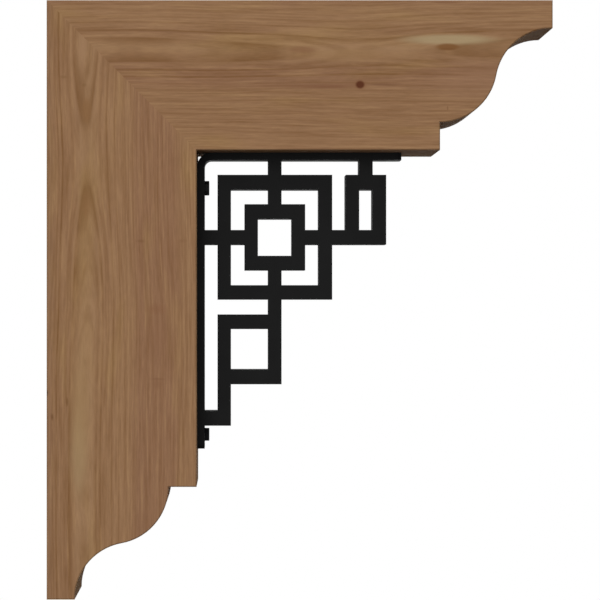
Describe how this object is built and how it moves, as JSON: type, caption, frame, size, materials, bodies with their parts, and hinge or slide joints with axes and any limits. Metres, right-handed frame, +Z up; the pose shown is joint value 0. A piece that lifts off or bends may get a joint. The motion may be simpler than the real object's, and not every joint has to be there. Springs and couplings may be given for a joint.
{
  "type": "wooden bracket",
  "caption": "L-shaped timber wall bracket with mitred corner and scrolled ends, carrying a welded steel fret on a bent strap in its inner corner.",
  "frame": {"origin": "where the post's wall face meets the beam's top face, at mid-width", "axes": "+X out from the wall along the beam, +Y across the width, +Z up the post"},
  "size_m": [0.4717, 0.1396, 0.5588],
  "materials": {
    "timber": "planed cedar with a clear satin oil",
    "dowel_wood": "plain beech",
    "black_steel": "matte black powder coat",
    "black_hardware": "black coated",
    "zinc_hardware": "zinc plated"
  },
  "bodies": {
    "root": {"wall_post": "timber", "beam_arm": "timber", "mitre_dowel_1": "dowel_wood", "mitre_dowel_2": "dowel_wood", "mitre_dowel_3": "dowel_wood", "mitre_dowel_4": "dowel_wood", "corner_strap": "black_steel", "outer_frame_left": "black_steel", "outer_frame_right": "black_steel", "outer_frame_top": "black_steel", "outer_frame_bottom": "black_steel", "inner_frame_left": "black_steel", "inner_frame_right": "black_steel", "inner_frame_top": "black_steel", "inner_frame_bottom": "black_steel", "side_loop_left": "black_steel", "side_loop_right": "black_steel", "side_loop_top": "black_steel", "side_loop_bottom": "black_steel", "top_stem": "black_steel", "top_spoke": "black_steel", "bottom_spoke": "black_steel", "left_spoke": "black_steel", "right_spoke": "black_steel", "side_stem": "black_steel", "wall_stub": "black_steel", "link_bar": "black_steel", "lower_loop_leg": "black_steel", "lower_loop_tail": "black_steel", "lower_loop_top": "black_steel", "lower_loop_bottom": "black_steel", "foot_stub": "black_steel", "upper_nut": "black_hardware", "lower_nut": "black_hardware", "front_screw": "black_hardware", "rear_screw": "black_hardware", "upper_bolt": "zinc_hardware", "lower_bolt": "zinc_hardware", "upper_washer": "zinc_hardware", "lower_washer": "zinc_hardware"}
  },
  "joints": []
}
